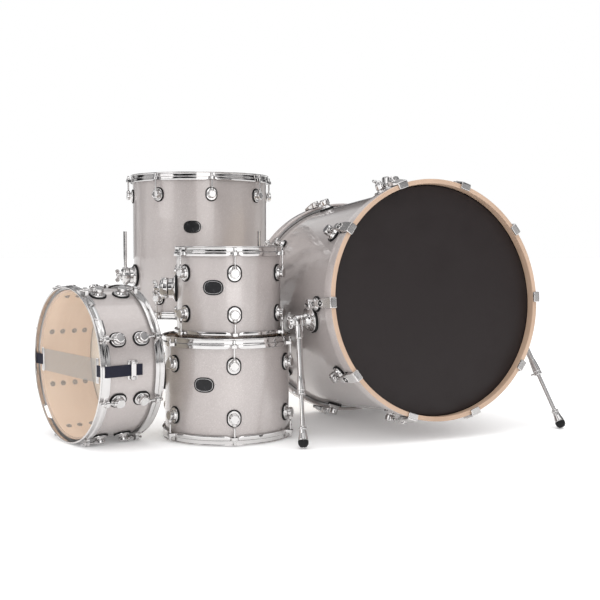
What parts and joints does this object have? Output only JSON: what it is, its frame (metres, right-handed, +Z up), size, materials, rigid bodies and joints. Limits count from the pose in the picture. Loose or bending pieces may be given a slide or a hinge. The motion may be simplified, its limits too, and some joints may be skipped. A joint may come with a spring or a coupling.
{
  "type": "acoustic drum kit",
  "caption": "Acoustic drum kit of shells only: bass drum on folding spurs, rack toms stacked one on the other, floor tom on legs, and snare drum on its side.",
  "frame": {"origin": "on the floor, in the middle of the kit's box", "axes": "+Z up, +X along the kit's longest side from the snare drum to the bass drum, +Y from the front of the kit to its back"},
  "size_m": [1.3432, 1.1807, 0.6784],
  "materials": {
    "shell": "gloss silver sparkle lacquer over maple ply",
    "wood_hoop": "clear satin maple, outside in the shell finish",
    "clear_head": "clear polyester film",
    "coated_head": "coated polyester film",
    "black_head": "satin black polyester film",
    "chrome": "polished chrome",
    "steel_wire": "bright wound steel wire",
    "rubber": "matt black rubber"
  },
  "bodies": {
    "bass_drum": {"bass_shell": "shell", "bass_rear_hoop": "wood_hoop", "bass_front_hoop": "wood_hoop", "bass_rear_head": "coated_head", "bass_front_head": "black_head", "bass_claws": "chrome", "bass_lugs": "chrome", "bass_tension_rods": "chrome", "bass_gaskets": "rubber", "tom_holder": "chrome", "spur_brackets": "chrome"},
    "holder_screw": {"tom_holder_wing_screw": "chrome"},
    "spur_left": {"spur_left_arm": "chrome"},
    "spur_left_rod": {"spur_left_rod": "chrome"},
    "spur_left_wing": {"spur_left_wing_bolt": "chrome"},
    "spur_left_collar": {"spur_left_collar_bolt": "chrome"},
    "spur_right": {"spur_right_arm": "chrome"},
    "spur_right_rod": {"spur_right_rod": "chrome"},
    "spur_right_wing": {"spur_right_wing_bolt": "chrome"},
    "spur_right_collar": {"spur_right_collar_bolt": "chrome"},
    "tom_12": {"tom_12_shell": "shell", "tom_12_heads": "clear_head", "tom_12_hoops": "chrome", "tom_12_lugs": "chrome", "tom_12_tension_rods": "chrome", "tom_12_gaskets": "rubber", "tom_12_bracket": "chrome"},
    "tom_12_wing": {"tom_12_wing_nut": "chrome"},
    "tom_10": {"tom_10_shell": "shell", "tom_10_heads": "clear_head", "tom_10_hoops": "chrome", "tom_10_lugs": "chrome", "tom_10_tension_rods": "chrome", "tom_10_gaskets": "rubber", "tom_10_bracket": "chrome"},
    "tom_10_wing": {"tom_10_wing_nut": "chrome"},
    "floor_tom": {"floor_tom_shell": "shell", "floor_tom_heads": "clear_head", "floor_tom_hoops": "chrome", "floor_tom_lugs": "chrome", "floor_tom_tension_rods": "chrome", "floor_tom_gaskets": "rubber", "floor_tom_leg_brackets": "chrome"},
    "leg_front_left": {"floor_tom_leg_front_left": "chrome"},
    "bolt_front_left": {"floor_tom_bolt_front_left": "chrome"},
    "leg_front_right": {"floor_tom_leg_front_right": "chrome"},
    "bolt_front_right": {"floor_tom_bolt_front_right": "chrome"},
    "leg_back": {"floor_tom_leg_back": "chrome"},
    "bolt_back": {"floor_tom_bolt_back": "chrome"},
    "snare": {"snare_shell": "shell", "snare_heads": "clear_head", "snare_hoops": "chrome", "snare_lugs": "chrome", "snare_tension_rods": "chrome", "snare_gaskets": "rubber", "snare_wires": "steel_wire", "snare_butt_plate": "chrome", "snare_strainer": "chrome"},
    "strainer_lever": {"snare_strainer_lever": "chrome"},
    "strainer_knob": {"snare_strainer_knob": "chrome"}
  },
  "joints": [
    {"name": "tom_holder_screw_turn", "type": "hinge", "parent": "bass_drum", "child": "holder_screw", "pos_m": [0.20243, -0.16694, 0.62779], "axis": [-0.9026, -0.4305, 0], "continuous": true},
    {"name": "spur_left_fold", "type": "hinge", "parent": "bass_drum", "child": "spur_left", "pos_m": [-0.01012, -0.39623, 0.28607], "axis": [-0.8911, -0.4373, -0.1214], "range_deg": [-8, 75]},
    {"name": "spur_left_extend", "type": "slide", "parent": "spur_left", "child": "spur_left_rod", "axis": [0.0378, -0.373, -0.9271], "range_m": [-0.04, 0.04]},
    {"name": "spur_left_wing_turn", "type": "hinge", "parent": "spur_left", "child": "spur_left_wing", "pos_m": [0.02152, -0.38071, 0.29038], "axis": [-0.8911, -0.4373, -0.1214], "continuous": true},
    {"name": "spur_left_collar_turn", "type": "hinge", "parent": "spur_left", "child": "spur_left_collar", "pos_m": [-0.00358, -0.46076, 0.12568], "axis": [-0.6125, 0.7244, -0.3164], "continuous": true},
    {"name": "spur_right_fold", "type": "hinge", "parent": "bass_drum", "child": "spur_right", "pos_m": [0.55409, -0.12712, 0.28607], "axis": [-0.9006, -0.4173, 0.1214], "range_deg": [-125, 60]},
    {"name": "spur_right_extend", "type": "slide", "parent": "spur_right", "child": "spur_right_rod", "axis": [0.331, -0.3852, -0.8614], "range_m": [-0.04, 0.04]},
    {"name": "spur_right_wing_turn", "type": "hinge", "parent": "spur_right", "child": "spur_right_wing", "pos_m": [0.52212, -0.14193, 0.29038], "axis": [0.9006, 0.4173, -0.1214], "continuous": true},
    {"name": "spur_right_collar_turn", "type": "hinge", "parent": "spur_right", "child": "spur_right_collar", "pos_m": [0.61136, -0.19375, 0.13704], "axis": [-0.0221, 0.9095, -0.4151], "continuous": true},
    {"name": "tom_12_lift", "type": "slide", "parent": "bass_drum", "child": "tom_12", "axis": [-0.8, 0, 0.6], "range_m": [0, 0.04]},
    {"name": "tom_10_lift", "type": "slide", "parent": "tom_12", "child": "tom_10", "axis": [0, 0, 1], "range_m": [0, 0.3]},
    {"name": "floor_tom_lift", "type": "slide", "parent": "bass_drum", "child": "floor_tom", "axis": [0, 0, 1], "range_m": [0, 0.3]},
    {"name": "snare_lift", "type": "slide", "parent": "bass_drum", "child": "snare", "axis": [0, 0, 1], "range_m": [0, 0.3]},
    {"name": "tom_12_wing_turn", "type": "hinge", "parent": "tom_12", "child": "tom_12_wing", "pos_m": [-0.187, -0.32378, 0.146], "axis": [-1, 0, 0], "continuous": true},
    {"name": "tom_10_wing_turn", "type": "hinge", "parent": "tom_10", "child": "tom_10_wing", "pos_m": [-0.1824, -0.31578, 0.3619], "axis": [-1, 0, 0], "continuous": true},
    {"name": "leg_front_left_slide", "type": "slide", "parent": "floor_tom", "child": "leg_front_left", "axis": [0, 0, 1], "range_m": [-0.08, 0.1]},
    {"name": "bolt_front_left_turn", "type": "hinge", "parent": "floor_tom", "child": "bolt_front_left", "pos_m": [-0.3147, 0.30422, 0.376], "axis": [-0.9205, -0.3907, 0], "continuous": true},
    {"name": "leg_front_right_slide", "type": "slide", "parent": "floor_tom", "child": "leg_front_right", "axis": [0, 0, 1], "range_m": [-0.08, 0.1]},
    {"name": "bolt_front_right_turn", "type": "hinge", "parent": "floor_tom", "child": "bolt_front_right", "pos_m": [-0.3147, 0.30422, 0.376], "axis": [0.7986, -0.6018, 0], "continuous": true},
    {"name": "leg_back_slide", "type": "slide", "parent": "floor_tom", "child": "leg_back", "axis": [0, 0, 1], "range_m": [-0.08, 0.1]},
    {"name": "bolt_back_turn", "type": "hinge", "parent": "floor_tom", "child": "bolt_back", "pos_m": [-0.3147, 0.30422, 0.376], "axis": [0.1219, 0.9925, 0], "continuous": true},
    {"name": "strainer_lever_throw", "type": "hinge", "parent": "snare", "child": "strainer_lever", "pos_m": [-0.60113, -0.22175, 0.186], "axis": [0, 0, -1], "range_deg": [0, 95]},
    {"name": "strainer_knob_turn", "type": "hinge", "parent": "snare", "child": "strainer_knob", "pos_m": [-0.64052, -0.26976, 0.186], "axis": [-0.7923, -0.6101, 0], "continuous": true}
  ]
}
